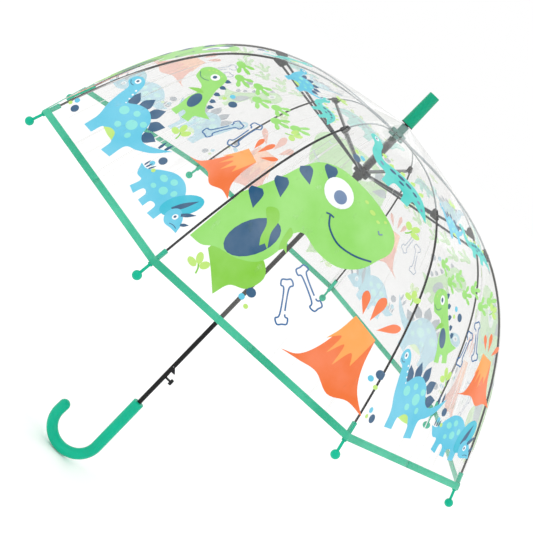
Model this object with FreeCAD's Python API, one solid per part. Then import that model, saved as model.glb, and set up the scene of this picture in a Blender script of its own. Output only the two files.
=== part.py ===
import FreeCAD, Part
import math
import os

from FreeCAD import Vector

# Children's dome umbrella, open, with a self-opening frame. Millimetres, +Z up the shaft.
# The origin is on the shaft's axis at the middle of the straight part of the grip. The crook
# turns towards -X; the release knob and the catch look towards +X.

# ---- driving dimensions -----------------------------------------------------------------
RIB_COUNT = 8
FIRST_RIB_BEARING = 30.4  # degrees from +X, counter-clockwise seen from above

# dome
CANOPY_RADIUS = 365.0  # shaft axis to a hem corner
CANOPY_DEPTH = 271.8  # hem corners up to the film's top
HEM_HEIGHT = 273.4  # hem corners above the middle of the grip
FILM_TOP_RADIUS = 5.0
FILM_THICKNESS = 0.5
# handles of the rib curve, as shares of the dome's radius and depth
CURVE_INNER = (0.5185, 0.895)
CURVE_OUTER = (0.7414, 0.858)
HEM_TAPE_WIDTH = 8.7
HEM_TAPE_THICKNESS = 1.1

# linkage
PIVOT_RING_RADIUS = 8.0  # shaft axis to the hinge wires of crown and runner
CLIP_RADIUS = 184.3  # shaft axis to the stretcher brackets' pins
CLIP_DROP = 7.0  # film down to a bracket's pin
CROWN_HINGE_DROP = 16.3  # film's top down to the crown's hinge wire
CLOSED_ANGLE = 86.0  # upper ribs below level when the umbrella is shut

# rods and bars
UPPER_ROD_RADIUS = 0.9
LOWER_ROD_RADIUS = 1.3
ROD_DROP_AT_CLIP = 2.3  # film down to the rod's axis at the bracket
ROD_DROP_AT_HEM = 4.1
BAR_WIDTH = 4.0
BAR_DEPTH = 2.6
BAR_NECK_THICKNESS = 2.4
OUTER_NECK_LENGTH = 11.5
INNER_NECK_LENGTH = 6.0
EYELET_RADIUS = 2.2
RIB_EYELET_THICKNESS = 1.6
ROD_ROOT = 1.3  # start of an upper rod past its eyelet's centre
ROD_BEND_SHARE = 0.36  # handles of an upper rod's curve, as a share of its length
LOWER_ROD_START = 0.0082  # share of the rib curve between the pin and the lower rod
WIRE_RADIUS = 0.6  # hinge wires
WIRE_CLEARANCE = 0.25
PIN_RADIUS = 1.0
PIN_CLEARANCE = 0.05
SLOT_CLEARANCE = 0.25  # each side of an eyelet in its slot

# brackets
CHEEK_THICKNESS = 1.0
CHEEK_CLEARANCE = 0.3  # lower rod to cheek, each side
BRACKET_INNER_REACH = 7.0
BRACKET_OUTER_REACH = 9.0
BRACKET_TOP = 4.9  # cheeks above the pin
BRACKET_FLARE_TOP = 1.2  # cheeks widen from the boss up to here
PIN_HEAD_RADIUS = 1.7
PIN_HEAD_THICKNESS = 0.6
CRIMP_RADIUS = 1.4
CRIMP_GAP = 3.4  # pin to the crimp's end

# rib tips
SOCKET_LENGTH = 22.0
SOCKET_RADIUS = 2.9
SOCKET_DEPTH = 17.0
SOCKET_PAST_HEM = 1.5
SOCKET_ROUND = 0.8
TIP_NECK_RADIUS = 1.7
BALL_RADIUS = 5.4
BALL_REACH = 18.0  # hem corner to the ball's centre

# shaft and grip
SHAFT_RADIUS = 3.2
SHAFT_WALL = 0.4
GRIP_RADIUS = 7.8
GRIP_STRAIGHT = 85.0
CROOK_RADIUS = 35.0  # to the grip's centre line
CROOK_TURN = 183.0  # degrees
CROOK_END = 9.0
GRIP_TOP_ROUND = 1.2
SHAFT_IN_GRIP = 38.0

# ferrule and crown
FERRULE_LENGTH = 49.0
FERRULE_BASE_RADIUS = 8.2
FERRULE_TOP_RADIUS = 7.4
FERRULE_ROUND = 1.1
SHAFT_IN_FERRULE = 28.0
WASHER_RADIUS = 8.6
WASHER_THICKNESS = 1.2
STACK_GAP = 0.3  # film to washer and film to crown
SEAT_CLEARANCE = 0.02
HUB_RADIUS = 11.0
HUB_ABOVE_HINGE = 4.6
HUB_BELOW_HINGE = 5.4
HUB_ROUND = 0.8
CROWN_NECK_RADIUS = 5.2

# runner
RUNNER_CLEARANCE = 0.3
SLEEVE_RADIUS = 5.3
RUNNER_COLLAR_RADIUS = 6.6
RUNNER_COLLAR_LENGTH = 5.0
SLEEVE_OVER_CATCH = 1.0  # sleeve's end above the catch when shut

# buffer spring on the runner, and opening spring inside the shaft
BUFFER_WIRE_RADIUS = 0.65
BUFFER_COIL_RADIUS = 4.9
BUFFER_TURN_GAP = 0.25
BUFFER_SEAT_GAP = 0.4
OPENING_COIL_RADIUS = 2.4
OPENING_COIL_BORE = 1.5
DRIVE_PIN_RADIUS = 0.8
DRIVE_PIN_DROP = 9.0  # hinge wire of the runner down to the pin
DRIVE_PIN_INNER = 1.2  # reach of the pin past the shaft's axis
DRIVE_PIN_SUNK = 0.4  # outer end of the pin below the runner's grip ring
SHAFT_SLOT_CLEARANCE = 0.3

# latch
KNOB_HEIGHT = 92.7
KNOB_STEM_RADIUS = 1.5
KNOB_STEM_CLEARANCE = 0.15
KNOB_REACH = 14.2  # shaft axis to the knob's face
KNOB_HEAD_RADIUS = 4.3
KNOB_HEAD_LENGTH = 4.6
KNOB_FACE_ROUND = 1.6
KNOB_STEM_INNER = 0.4  # shaft axis to the stem's inner end
KNOB_STEM_IN_HEAD = 3.6
CATCH_HEIGHT = 103.3  # underside of the catch
CATCH_LENGTH = 9.0
CATCH_REACH = 8.2  # shaft axis to the catch's nose
CATCH_THICKNESS = 1.8
CATCH_NOSE = 1.1  # height of the nose's blunt front
CATCH_BACK = -0.9  # back edge of the plate from the shaft's axis
CATCH_EYE = (1.1, 1.4)  # plate above and below its pivot
CATCH_RAMP_START = 1.3
CATCH_FOOT_START = 2.1
CATCH_PIVOT = (0.2, 1.2)  # from the shaft's axis, and below the plate's top line
CATCH_PIN_RADIUS = 0.5
CATCH_PIN_SUNK = 0.1  # ends of the pin below the shaft's surface
WINDOW_CLEARANCE = 0.3
WINDOW_DROP = 3.6  # room below the catch for its nose as it turns in
LEAF_THICKNESS = 0.25
LEAF_WIDTH = 1.8
LEAF_BELOW_KNOB = 6.0
OVERCUT = 1.0  # cutters run this far past the faces that they open

# ---- derived places ---------------------------------------------------------------------
RIB_STEP = 360.0 / RIB_COUNT
FILM_TOP = HEM_HEIGHT + CANOPY_DEPTH
CROWN_HINGE = FILM_TOP - CROWN_HINGE_DROP
SHAFT_BORE = SHAFT_RADIUS - SHAFT_WALL
GRIP_TOP = GRIP_STRAIGHT / 2
GRIP_BEND = -GRIP_STRAIGHT / 2
CROWN_TOP = FILM_TOP - FILM_THICKNESS / math.cos(math.radians(RIB_STEP / 2)) - STACK_GAP
WASHER_BASE = FILM_TOP + STACK_GAP
FERRULE_BASE = WASHER_BASE + WASHER_THICKNESS
UP = Vector(0, 0, 1)
AXIS_X = Vector(1, 0, 0)
AXIS_Y = Vector(0, 1, 0)
CURVE_STEPS = 14
CURVE_PROBE = 0.0005  # share of the rib curve taken as a short step
WALL_START = 0.5  # cuts through one wall of a tube start this far past the axis


def rib_curve(share):
    """Radius and height of the film over a rib: 0 at the top of the dome, 1 at the hem."""
    ends = ((FILM_TOP_RADIUS, CANOPY_DEPTH), (CANOPY_RADIUS, 0.0))
    inner = (CURVE_INNER[0] * CANOPY_RADIUS, CURVE_INNER[1] * CANOPY_DEPTH)
    outer = (CURVE_OUTER[0] * CANOPY_RADIUS, CURVE_OUTER[1] * CANOPY_DEPTH)
    rest = 1.0 - share
    weights = (rest**3, 3 * rest * rest * share, 3 * rest * share * share, share**3)
    handles = (ends[0], inner, outer, ends[1])
    radius = sum(w * h[0] for w, h in zip(weights, handles))
    height = sum(w * h[1] for w, h in zip(weights, handles))
    return radius, HEM_HEIGHT + height


def rib_heading(share):
    """Unit vector along the rib curve, towards the hem."""
    low = max(0.0, share - CURVE_PROBE)
    high = min(1.0, share + CURVE_PROBE)
    r0, z0 = rib_curve(low)
    r1, z1 = rib_curve(high)
    length = math.hypot(r1 - r0, z1 - z0)
    return (r1 - r0) / length, (z1 - z0) / length


def under_rib(share, drop):
    """A point in the rib's plane, drop below the film, as a vector at y = 0."""
    radius, height = rib_curve(share)
    along_r, along_z = rib_heading(share)
    return Vector(radius + drop * along_z, 0, height - drop * along_r)


def share_at_radius(radius):
    """Share of the rib curve that lies radius away from the shaft's axis."""
    low, high = 0.0, 1.0
    for _ in range(50):
        middle = (low + high) / 2
        if rib_curve(middle)[0] < radius:
            low = middle
        else:
            high = middle
    return (low + high) / 2


def share_before_hem(distance):
    """Share of the curve that lies distance back from the hem."""
    share = 1.0
    left = distance
    while left > 0 and share > 0:
        r0, z0 = rib_curve(share)
        r1, z1 = rib_curve(share - CURVE_PROBE)
        left -= math.hypot(r1 - r0, z1 - z0)
        share -= CURVE_PROBE
    return share


CLIP_SHARE = share_at_radius(CLIP_RADIUS)
CLIP_PIN = Vector(CLIP_RADIUS, 0, rib_curve(CLIP_SHARE)[1] - CLIP_DROP)
CROWN_PIVOT = Vector(PIVOT_RING_RADIUS, 0, CROWN_HINGE)
RUNNER_HINGE = 2 * CLIP_PIN.z - CROWN_HINGE
RUNNER_PIVOT = Vector(PIVOT_RING_RADIUS, 0, RUNNER_HINGE)
LINK_LENGTH = (CLIP_PIN - CROWN_PIVOT).Length
OPEN_ANGLE = math.degrees(math.asin((CROWN_PIVOT.z - CLIP_PIN.z) / LINK_LENGTH))
FOLD_RANGE = CLOSED_ANGLE - OPEN_ANGLE
SHUT_RUNNER_HINGE = CROWN_HINGE - 2 * LINK_LENGTH * math.sin(math.radians(CLOSED_ANGLE))
RUNNER_TRAVEL = RUNNER_HINGE - SHUT_RUNNER_HINGE
CATCH_TOP = CATCH_HEIGHT + CATCH_LENGTH
SLEEVE_BELOW_HINGE = SHUT_RUNNER_HINGE - CATCH_TOP - SLEEVE_OVER_CATCH


# ---- helpers ----------------------------------------------------------------------------
def disc(radius, bottom, top, inner=0.0):
    """Upright cylinder or ring on the shaft's axis."""
    body = Part.makeCylinder(radius, top - bottom, Vector(0, 0, bottom), UP)
    if inner > 0:
        start = Vector(0, 0, bottom - OVERCUT)
        body = body.cut(Part.makeCylinder(inner, top - bottom + 2 * OVERCUT, start, UP))
    return body


def box(x0, x1, y0, y1, z0, z1):
    return Part.makeBox(x1 - x0, y1 - y0, z1 - z0, Vector(x0, y0, z0))


def at_bearing(shape, index):
    """Copy of a shape modelled over +X, turned to rib number index."""
    turned = shape.copy()
    turned.rotate(Vector(0, 0, 0), UP, FIRST_RIB_BEARING + index * RIB_STEP)
    return turned


def rod_along(points, radius):
    """Round rod whose axis is a smooth curve through the points."""
    curve = Part.BSplineCurve()
    curve.interpolate(points)
    path = Part.Wire([curve.toShape()])
    start = points[0]
    heading = curve.tangent(curve.FirstParameter)[0]
    profile = Part.Wire([Part.Circle(start, heading, radius).toShape()])
    return path.makePipeShell([profile], True, True)


def eyelet(centre, radius, thickness, hole):
    """Flat ring whose hole runs along Y."""
    start = centre - AXIS_Y * (thickness / 2)
    ring = Part.makeCylinder(radius, thickness, start, AXIS_Y)
    start = start - AXIS_Y * OVERCUT
    bore = Part.makeCylinder(hole, thickness + 2 * OVERCUT, start, AXIS_Y)
    return ring, bore


def bar_between(start, end, width, depth):
    """Square bar in the XZ plane from start to end, width along Y."""
    heading = end - start
    length = heading.Length
    body = Part.makeBox(length, width, depth, Vector(0, -width / 2, -depth / 2))
    body.rotate(Vector(0, 0, 0), AXIS_Y, -math.degrees(math.atan2(heading.z, heading.x)))
    body.translate(start)
    return body


def is_rim(edge):
    """True for a full circle, and for nothing else on a plain cylinder."""
    return len(edge.Vertexes) == 1


def round_edges(shape, radius, wanted):
    edges = [e for e in shape.Edges if wanted(e)]
    return shape.makeFillet(radius, edges)


# ---- canopy -----------------------------------------------------------------------------
def curve_band(first, last, drop):
    """Edge of the film curve between two shares, drop below the outer surface, over +X."""
    shares = [first + (last - first) * i / CURVE_STEPS for i in range(CURVE_STEPS + 1)]
    curve = Part.BSplineCurve()
    curve.interpolate([under_rib(s, drop) for s in shares])
    return curve.toShape()


def dome_shell(first, last, drop_out, drop_in):
    """Closed band of flat-sided gores between two shares of the rib curve."""
    outer = [at_bearing(curve_band(first, last, drop_out), i) for i in range(RIB_COUNT)]
    inner = [at_bearing(curve_band(first, last, drop_in), i) for i in range(RIB_COUNT)]
    faces = []
    for i in range(RIB_COUNT):
        j = (i + 1) % RIB_COUNT
        faces.append(Part.makeRuledSurface(outer[i], outer[j]))
        faces.append(Part.makeRuledSurface(inner[i], inner[j]))
        for place in (0, -1):
            rims = (outer[i], outer[j], inner[j], inner[i])
            corners = [edge.Vertexes[place].Point for edge in rims]
            faces.append(Part.Face(Part.makePolygon(corners + corners[:1])))
    shell = Part.makeShell(faces)
    shell.sewShape()
    solid = Part.makeSolid(shell)
    if solid.Volume < 0:
        solid.reverse()
    return solid


def make_film():
    return dome_shell(0.0, share_before_hem(HEM_TAPE_WIDTH), 0.0, FILM_THICKNESS)


def make_hem_tape():
    proud = (HEM_TAPE_THICKNESS - FILM_THICKNESS) / 2
    start = share_before_hem(HEM_TAPE_WIDTH)
    return dome_shell(start, 1.0, -proud, FILM_THICKNESS + proud)


# ---- ribs -------------------------------------------------------------------------------
def make_rib_upper():
    """Thin rod from the crown's hinge wire to the bracket, with an eyelet on the wire."""
    hole = WIRE_RADIUS + WIRE_CLEARANCE
    ring, bore = eyelet(CROWN_PIVOT, EYELET_RADIUS, RIB_EYELET_THICKNESS, hole)
    end = under_rib(CLIP_SHARE, ROD_DROP_AT_CLIP)
    along_r, along_z = rib_heading(CLIP_SHARE)
    end = end - Vector(along_r, 0, along_z) * CRIMP_GAP
    start = CROWN_PIVOT + Vector(ROD_ROOT, 0, 0)
    reach = (end - start).Length * ROD_BEND_SHARE
    first_handle = start + Vector(reach, 0, 0)
    last_handle = end - Vector(along_r, 0, along_z) * reach
    bend = Part.BezierCurve()
    bend.setPoles([start, first_handle, last_handle, end])
    points = [bend.value(i / CURVE_STEPS) for i in range(CURVE_STEPS + 1)]
    rod = rod_along(points, UPPER_ROD_RADIUS)
    return ring.fuse(rod).cut(bore).removeSplitter()


def make_rib_lower():
    """Pre-curved rod from the bracket to the socket of the tip."""
    first = CLIP_SHARE + LOWER_ROD_START
    last = share_before_hem(SOCKET_LENGTH - SOCKET_DEPTH)
    points = []
    for i in range(CURVE_STEPS + 1):
        share = first + (last - first) * i / CURVE_STEPS
        part = (share - CLIP_SHARE) / (1 - CLIP_SHARE)
        drop = ROD_DROP_AT_CLIP + (ROD_DROP_AT_HEM - ROD_DROP_AT_CLIP) * part
        points.append(under_rib(share, drop))
    return rod_along(points, LOWER_ROD_RADIUS)


def make_bracket():
    """Two cheeks crimped on the rod, and the pin that the stretcher hangs on."""
    inside = LOWER_ROD_RADIUS + CHEEK_CLEARANCE
    outside = inside + CHEEK_THICKNESS
    tilt = math.degrees(math.atan2(rib_heading(CLIP_SHARE)[1], rib_heading(CLIP_SHARE)[0]))
    low = PIN_RADIUS + EYELET_RADIUS
    boss = Part.makeCylinder(low, 2 * outside, Vector(0, -outside, 0), AXIS_Y)
    edge = BRACKET_FLARE_TOP
    upper = box(-BRACKET_INNER_REACH, BRACKET_OUTER_REACH, -outside, outside, edge, BRACKET_TOP)
    diagonal = low / math.sqrt(2)
    flare = [
        Vector(-BRACKET_INNER_REACH, -outside, edge),
        Vector(-diagonal, -outside, -diagonal),
        Vector(diagonal, -outside, -diagonal),
        Vector(BRACKET_OUTER_REACH, -outside, edge),
    ]
    skirt = Part.Face(Part.makePolygon(flare + flare[:1])).extrude(Vector(0, 2 * outside, 0))
    body = boss.fuse([upper, skirt])
    reach = 2 * BRACKET_OUTER_REACH
    body = body.cut(box(-reach, reach, -inside, inside, -reach, reach))
    crimp_low = CLIP_DROP - ROD_DROP_AT_CLIP - CRIMP_RADIUS
    crimp = box(-BRACKET_INNER_REACH, -CRIMP_GAP, -inside, inside, crimp_low, BRACKET_TOP)
    body = body.fuse(crimp)
    body.rotate(Vector(0, 0, 0), AXIS_Y, -tilt)
    pin = Part.makeCylinder(PIN_RADIUS, 2 * outside, Vector(0, -outside, 0), AXIS_Y)
    body = body.cut(pin)
    body.translate(CLIP_PIN)
    body = body.cut(make_rib_upper())
    for side in (-1, 1):
        face = Vector(0, side * outside, 0)
        pin = pin.fuse(Part.makeCylinder(PIN_HEAD_RADIUS, PIN_HEAD_THICKNESS, face, AXIS_Y * side))
    pin.translate(CLIP_PIN)
    return Part.makeCompound([body.removeSplitter(), pin.removeSplitter()])


def make_tip():
    """Socket sewn under the hem corner, with its neck and ball outside."""
    end = under_rib(1.0, ROD_DROP_AT_HEM)
    back = under_rib(share_before_hem(SOCKET_LENGTH), ROD_DROP_AT_HEM)
    heading = (end - back).normalize()
    length = SOCKET_LENGTH + SOCKET_PAST_HEM
    socket = Part.makeCylinder(SOCKET_RADIUS, length, end - heading * SOCKET_LENGTH, heading)
    socket = round_edges(socket, SOCKET_ROUND, is_rim)
    neck = Part.makeCylinder(TIP_NECK_RADIUS, BALL_REACH, end, heading)
    ball = Part.makeSphere(BALL_RADIUS, end + heading * BALL_REACH)
    body = socket.fuse([neck, ball])
    return body.cut(make_rib_lower()).removeSplitter()


def make_stretcher():
    """Flat-ended bar from the runner's hinge wire to the bracket's pin."""
    heading = (CLIP_PIN - RUNNER_PIVOT).normalize()
    hole = WIRE_RADIUS + WIRE_CLEARANCE
    inner_ring, inner_bore = eyelet(RUNNER_PIVOT, EYELET_RADIUS, BAR_NECK_THICKNESS, hole)
    pin_hole = PIN_RADIUS + PIN_CLEARANCE
    outer_ring, outer_bore = eyelet(CLIP_PIN, EYELET_RADIUS, BAR_NECK_THICKNESS, pin_hole)
    neck = bar_between(RUNNER_PIVOT, CLIP_PIN, BAR_NECK_THICKNESS, BAR_DEPTH)
    start = RUNNER_PIVOT + heading * INNER_NECK_LENGTH
    end = CLIP_PIN - heading * OUTER_NECK_LENGTH
    bar = bar_between(start, end, BAR_WIDTH, BAR_DEPTH)
    body = neck.fuse([inner_ring, outer_ring, bar])
    return body.cut(inner_bore).cut(outer_bore).removeSplitter()


# ---- crown, ferrule and film clamp ------------------------------------------------------
def hinge_slots(body, hinge, thickness, opens_down):
    """Cut the wire's groove and one slot per rib into a hub, open at the rim and one end."""
    width = thickness + 2 * SLOT_CLEARANCE
    inner = PIVOT_RING_RADIUS - EYELET_RADIUS - SLOT_CLEARANCE
    blind = EYELET_RADIUS + SLOT_CLEARANCE
    open_end = 2 * HUB_RADIUS
    low, high = (-open_end, blind) if opens_down else (-blind, open_end)
    slot = box(inner, open_end, -width / 2, width / 2, hinge + low, hinge + high)
    for i in range(RIB_COUNT):
        body = body.cut(at_bearing(slot, i))
    seat = WIRE_RADIUS + SEAT_CLEARANCE
    groove = disc(HUB_RADIUS + OVERCUT, hinge - seat, hinge + seat, PIVOT_RING_RADIUS)
    ring = Part.makeTorus(PIVOT_RING_RADIUS, seat, Vector(0, 0, hinge), UP)
    return body.cut(groove).cut(ring)


def make_crown():
    hub = disc(HUB_RADIUS, CROWN_HINGE - HUB_BELOW_HINGE, CROWN_HINGE + HUB_ABOVE_HINGE)
    hub = round_edges(hub, HUB_ROUND, is_rim)
    neck = disc(CROWN_NECK_RADIUS, CROWN_HINGE, CROWN_TOP)
    body = hub.fuse(neck)
    bore = SHAFT_RADIUS + SEAT_CLEARANCE
    body = body.cut(disc(bore, CROWN_HINGE - 2 * HUB_RADIUS, CROWN_TOP + OVERCUT))
    return hinge_slots(body, CROWN_HINGE, RIB_EYELET_THICKNESS, True)


def make_hinge_wire(hinge):
    return Part.makeTorus(PIVOT_RING_RADIUS, WIRE_RADIUS, Vector(0, 0, hinge), UP)


def make_film_washer():
    bore = SHAFT_RADIUS + SEAT_CLEARANCE
    return disc(WASHER_RADIUS, WASHER_BASE, FERRULE_BASE, bore)


def make_ferrule():
    base = Vector(0, 0, FERRULE_BASE)
    body = Part.makeCone(FERRULE_BASE_RADIUS, FERRULE_TOP_RADIUS, FERRULE_LENGTH, base, UP)
    top = FERRULE_BASE + FERRULE_LENGTH
    body = round_edges(body, FERRULE_ROUND, lambda e: e.BoundBox.ZMin > top - FERRULE_ROUND)
    bore = SHAFT_RADIUS + SEAT_CLEARANCE
    return body.cut(disc(bore, FERRULE_BASE - OVERCUT, FERRULE_BASE + SHAFT_IN_FERRULE))


# ---- shaft and grip ---------------------------------------------------------------------
def catch_pivot():
    return Vector(CATCH_PIVOT[0], 0, CATCH_TOP - CATCH_PIVOT[1])


def make_shaft():
    bottom = GRIP_TOP - SHAFT_IN_GRIP
    top = FERRULE_BASE + SHAFT_IN_FERRULE
    tube = disc(SHAFT_RADIUS, bottom, top, SHAFT_BORE)
    stem = KNOB_STEM_RADIUS + KNOB_STEM_CLEARANCE
    knob = Vector(0, 0, KNOB_HEIGHT)
    tube = tube.cut(Part.makeCylinder(stem, 2 * SHAFT_RADIUS, knob, AXIS_X))
    half = CATCH_THICKNESS / 2 + WINDOW_CLEARANCE
    window_low = CATCH_HEIGHT - WINDOW_DROP
    window_high = CATCH_TOP + WINDOW_CLEARANCE
    window = box(WALL_START, 2 * SHAFT_RADIUS, -half, half, window_low, window_high)
    tube = tube.cut(window)
    room = DRIVE_PIN_RADIUS + SHAFT_SLOT_CLEARANCE
    pin_open = RUNNER_HINGE - DRIVE_PIN_DROP
    slot_low = pin_open - RUNNER_TRAVEL - room
    slot_high = pin_open + room
    tube = tube.cut(box(-2 * SHAFT_RADIUS, -WALL_START, -room, room, slot_low, slot_high))
    start = catch_pivot() - AXIS_Y * 2 * SHAFT_RADIUS
    return tube.cut(Part.makeCylinder(CATCH_PIN_RADIUS, 4 * SHAFT_RADIUS, start, AXIS_Y))


def make_handle():
    """J-shaped grip with a rounded free end and a blind socket for the shaft."""
    top = Vector(0, 0, GRIP_TOP)
    bend = Vector(0, 0, GRIP_BEND)
    centre = Vector(-CROOK_RADIUS, 0, GRIP_BEND)

    def on_bend(turn):
        angle = math.radians(turn)
        return centre + Vector(math.cos(angle), 0, -math.sin(angle)) * CROOK_RADIUS

    last = on_bend(CROOK_TURN)
    angle = math.radians(CROOK_TURN)
    heading = Vector(-math.sin(angle), 0, -math.cos(angle))
    end = last + heading * CROOK_END
    straight = Part.LineSegment(top, bend).toShape()
    arc = Part.Arc(bend, on_bend(CROOK_TURN / 2), last).toShape()
    tail = Part.LineSegment(last, end).toShape()
    path = Part.Wire([straight, arc, tail])
    profile = Part.Wire([Part.Circle(top, UP, GRIP_RADIUS).toShape()])
    body = path.makePipeShell([profile], True, True)
    body = body.fuse(Part.makeSphere(GRIP_RADIUS, end)).removeSplitter()
    body = round_edges(body, GRIP_TOP_ROUND, lambda e: e.BoundBox.ZMin > GRIP_TOP - GRIP_TOP_ROUND)
    bore = SHAFT_RADIUS + SEAT_CLEARANCE
    return body.cut(disc(bore, GRIP_TOP - SHAFT_IN_GRIP, GRIP_TOP + OVERCUT))


# ---- runner and spring ------------------------------------------------------------------
def make_runner():
    hub_top = RUNNER_HINGE + HUB_ABOVE_HINGE
    hub_low = RUNNER_HINGE - HUB_BELOW_HINGE
    hub = disc(HUB_RADIUS, hub_low, hub_top)
    hub = round_edges(hub, HUB_ROUND, is_rim)
    low = RUNNER_HINGE - SLEEVE_BELOW_HINGE
    sleeve = disc(SLEEVE_RADIUS, low, RUNNER_HINGE)
    collar_top = low + RUNNER_COLLAR_LENGTH
    collar = disc(RUNNER_COLLAR_RADIUS, low, collar_top)
    grip_ring = disc(RUNNER_COLLAR_RADIUS, hub_low - RUNNER_COLLAR_LENGTH, RUNNER_HINGE)
    body = hub.fuse([sleeve, collar, grip_ring])
    body = body.cut(disc(SHAFT_RADIUS + RUNNER_CLEARANCE, low - OVERCUT, hub_top + OVERCUT))
    half = CATCH_THICKNESS / 2 + WINDOW_CLEARANCE
    window_top = collar_top + CATCH_LENGTH
    window = box(WALL_START, 2 * HUB_RADIUS, -half, half, collar_top, window_top)
    body = body.cut(window).cut(make_drive_pin())
    return hinge_slots(body, RUNNER_HINGE, BAR_NECK_THICKNESS, False)


def make_drive_pin():
    """Pin in the runner that reaches through the shaft's slot to the opening spring."""
    outer = RUNNER_COLLAR_RADIUS - DRIVE_PIN_SUNK
    start = Vector(-outer, 0, RUNNER_HINGE - DRIVE_PIN_DROP)
    return Part.makeCylinder(DRIVE_PIN_RADIUS, outer + DRIVE_PIN_INNER, start, AXIS_X)


def make_buffer_spring():
    """Close-wound coil round the shaft, carried on the runner's hub and met by the crown."""
    low = RUNNER_HINGE + HUB_ABOVE_HINGE + BUFFER_SEAT_GAP + BUFFER_WIRE_RADIUS
    high = CROWN_HINGE - HUB_BELOW_HINGE - BUFFER_SEAT_GAP - BUFFER_WIRE_RADIUS
    pitch = 2 * BUFFER_WIRE_RADIUS + BUFFER_TURN_GAP
    helix = Part.makeHelix(pitch, high - low, BUFFER_COIL_RADIUS)
    path = Part.Wire(helix.Edges)
    start = Vector(BUFFER_COIL_RADIUS, 0, 0)
    profile = Part.Wire([Part.Circle(start, AXIS_Y, BUFFER_WIRE_RADIUS).toShape()])
    coil = path.makePipeShell([profile], True, True)
    coil.translate(Vector(0, 0, low))
    return coil


def make_opening_spring():
    """Outer shape of the tension coil inside the shaft, from the top down to the drive pin."""
    low = RUNNER_HINGE - DRIVE_PIN_DROP + DRIVE_PIN_RADIUS + SHAFT_SLOT_CLEARANCE
    return disc(OPENING_COIL_RADIUS, low, FERRULE_BASE + SHAFT_IN_FERRULE / 2, OPENING_COIL_BORE)


# ---- latch ------------------------------------------------------------------------------
def make_release_knob():
    head_start = KNOB_REACH - KNOB_HEAD_LENGTH
    stem_length = head_start + KNOB_STEM_IN_HEAD - KNOB_STEM_INNER
    start = Vector(KNOB_STEM_INNER, 0, KNOB_HEIGHT)
    stem = Part.makeCylinder(KNOB_STEM_RADIUS, stem_length, start, AXIS_X)
    start = Vector(head_start, 0, KNOB_HEIGHT)
    head = Part.makeCylinder(KNOB_HEAD_RADIUS, KNOB_HEAD_LENGTH, start, AXIS_X)
    front = KNOB_REACH - KNOB_FACE_ROUND
    head = round_edges(head, KNOB_FACE_ROUND, lambda e: e.BoundBox.XMin > front)
    return stem.fuse(head).removeSplitter()


def make_runner_catch():
    """Triangular plate: ramp on its upper side, square face below, and a hole for its pin."""
    half = CATCH_THICKNESS / 2
    eye = catch_pivot().z
    outline = [
        Vector(CATCH_BACK, -half, eye + CATCH_EYE[0]),
        Vector(CATCH_RAMP_START, -half, eye + CATCH_EYE[0]),
        Vector(CATCH_REACH, -half, CATCH_HEIGHT + CATCH_NOSE),
        Vector(CATCH_REACH, -half, CATCH_HEIGHT),
        Vector(CATCH_FOOT_START, -half, CATCH_HEIGHT),
        Vector(CATCH_BACK, -half, eye - CATCH_EYE[1]),
    ]
    face = Part.Face(Part.makePolygon(outline + outline[:1]))
    plate = face.extrude(Vector(0, CATCH_THICKNESS, 0))
    start = catch_pivot() - AXIS_Y * CATCH_THICKNESS
    hole = CATCH_PIN_RADIUS + PIN_CLEARANCE
    return plate.cut(Part.makeCylinder(hole, 2 * CATCH_THICKNESS, start, AXIS_Y))


def make_catch_pin():
    half = math.sqrt(SHAFT_RADIUS**2 - catch_pivot().x ** 2) - CATCH_PIN_SUNK
    return Part.makeCylinder(CATCH_PIN_RADIUS, 2 * half, catch_pivot() - AXIS_Y * half, AXIS_Y)


def make_latch_spring():
    """Leaf that lies on the far wall of the shaft behind the knob and the catch."""
    outer = math.sqrt(SHAFT_BORE**2 - (LEAF_WIDTH / 2) ** 2) - SEAT_CLEARANCE
    low = KNOB_HEIGHT - LEAF_BELOW_KNOB
    return box(-outer, LEAF_THICKNESS - outer, -LEAF_WIDTH / 2, LEAF_WIDTH / 2, low, CATCH_TOP)


# ---- export -----------------------------------------------------------------------------
def export(shape, node):
    valid = shape.isValid() and shape.Volume > 0
    print(f"{node:20s} solids {len(shape.Solids)} volume {shape.Volume:10.2f} valid {valid}")
    shape.exportStep(f"parts/{node}.step")


def main():
    os.makedirs("parts", exist_ok=True)
    single = {
        "shaft": make_shaft(),
        "handle": make_handle(),
        "ferrule": make_ferrule(),
        "film_washer": make_film_washer(),
        "crown": make_crown(),
        "crown_wire": make_hinge_wire(CROWN_HINGE),
        "canopy_film": make_film(),
        "hem_tape": make_hem_tape(),
        "opening_spring": make_opening_spring(),
        "buffer_spring": make_buffer_spring(),
        "drive_pin": make_drive_pin(),
        "runner": make_runner(),
        "runner_wire": make_hinge_wire(RUNNER_HINGE),
        "release_knob": make_release_knob(),
        "runner_catch": make_runner_catch(),
        "catch_pin": make_catch_pin(),
        "latch_spring": make_latch_spring(),
    }
    for node, shape in single.items():
        export(shape, node)
    repeated = {
        "rib_upper": make_rib_upper(),
        "rib_lower": make_rib_lower(),
        "rib_bracket": make_bracket(),
        "rib_tip": make_tip(),
        "stretcher": make_stretcher(),
    }
    for name, shape in repeated.items():
        for i in range(RIB_COUNT):
            export(at_bearing(shape, i), f"{name}_{i + 1}")
    print(f"link {LINK_LENGTH:.2f}, open {OPEN_ANGLE:.2f} deg, fold {FOLD_RANGE:.2f} deg")
    print(f"runner hinge {RUNNER_HINGE:.2f}, travel {RUNNER_TRAVEL:.2f}, sleeve {SLEEVE_BELOW_HINGE:.2f}")


main()
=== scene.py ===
import math

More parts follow.
